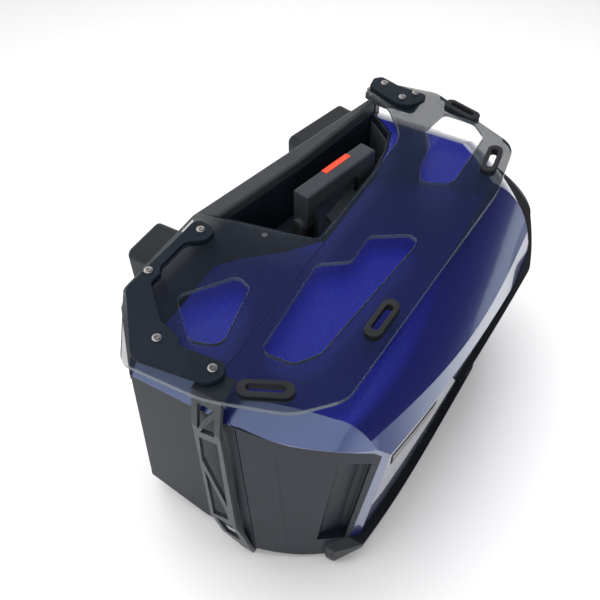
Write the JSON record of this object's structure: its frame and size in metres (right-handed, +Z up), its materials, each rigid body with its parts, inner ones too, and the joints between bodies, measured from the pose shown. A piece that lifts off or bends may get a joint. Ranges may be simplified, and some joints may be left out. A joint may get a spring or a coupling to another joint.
{
  "type": "motorcycle saddlebag",
  "caption": "Hard side case with side-opening painted lid, smoked rack plate on top, fold-down carry handle in a well, release paddle, strap slots and end strut.",
  "frame": {"origin": "bottom centre of the closed case's bounding box, on the ground", "axes": "+X along the length towards the rear end, +Y towards the wheel side, +Z up; the painted outer face looks to -Y and the black front end to -X"},
  "size_m": [0.5624, 0.3908, 0.3566],
  "materials": {
    "blue_paint": "glossy dark blue metallic paint on plastic",
    "textured_black": "fine textured black plastic",
    "trim_black": "satin black plastic trim",
    "badge_black": "plain satin black badge plate",
    "smoked_sheet": "clear polished smoke-tinted sheet",
    "grommet_rubber": "moulded black rubber",
    "corner_plate_black": "fine textured black",
    "bracket_black": "powder-coated satin black",
    "standoff_rubber": "moulded black rubber",
    "stainless": "turned stainless steel",
    "strut_steel": "powder-coated matt black",
    "rail_black": "satin black plastic",
    "block_black": "textured black plastic",
    "handle_black": "fine textured black plastic",
    "marker_red": "red-orange moulded tab",
    "lever_black": "satin black plastic",
    "latch_steel": "zinc-plated pressed steel",
    "lock_chrome": "polished",
    "seal_rubber": "soft black sealing rubber"
  },
  "bodies": {
    "case": {"base_shell": "textured_black", "base_top_cover": "blue_paint", "rim_seal": "seal_rubber", "rack_plate": "smoked_sheet", "slot_grommets": "grommet_rubber", "front_corner_plate": "corner_plate_black", "rear_corner_plate": "corner_plate_black", "rear_rack_bracket": "bracket_black", "rack_standoffs": "standoff_rubber", "rack_screws": "stainless", "front_strut": "strut_steel", "strut_pad": "standoff_rubber", "strut_screw": "stainless", "wall_rail": "rail_black", "front_carrier_block": "block_black", "rear_carrier_block": "block_black", "handle_lugs": "handle_black", "handle_pins": "stainless", "latch_bearings": "latch_steel", "lock_housing": "rail_black", "base_hinge_leaves": "latch_steel", "base_hinge_screws": "stainless", "hinge_pins": "stainless", "base_feet": "standoff_rubber", "deck_screw": "stainless"},
    "lid": {"lid_shell": "textured_black", "lid_cover": "blue_paint", "badge_plate": "badge_black", "lower_bumper_strip": "trim_black", "upper_rub_strip": "trim_black", "latch_striker": "latch_steel", "lid_hinge_leaves": "latch_steel", "lid_hinge_screws": "stainless"},
    "handle": {"carry_handle": "handle_black", "red_marker": "marker_red"},
    "release": {"latch_shaft": "stainless", "release_lever": "lever_black", "latch_hooks": "latch_steel"},
    "lock": {"lock_cylinder": "lock_chrome", "lock_cam": "latch_steel"}
  },
  "joints": [
    {"name": "lid_hinge", "type": "hinge", "parent": "case", "child": "lid", "pos_m": [0.00007, -0.03056, 0.0052], "axis": [1, 0, 0], "range_deg": [0, 75]},
    {"name": "handle_fold", "type": "hinge", "parent": "case", "child": "handle", "pos_m": [0.00137, 0.05444, 0.304], "axis": [-0.9743, 0.2251, 0], "range_deg": [0, 80]},
    {"name": "lever_press", "type": "hinge", "parent": "case", "child": "release", "pos_m": [0.05837, 0.02044, 0.282], "axis": [-1, 0, 0], "range_deg": [0, 15], "stiffness_Nm_per_rad": 0.5, "springref_deg": -11.46},
    {"name": "lock_turn", "type": "hinge", "parent": "case", "child": "lock", "pos_m": [0.14237, 0.04644, 0.27], "axis": [0, 0, 1], "range_deg": [0, 90]}
  ]
}
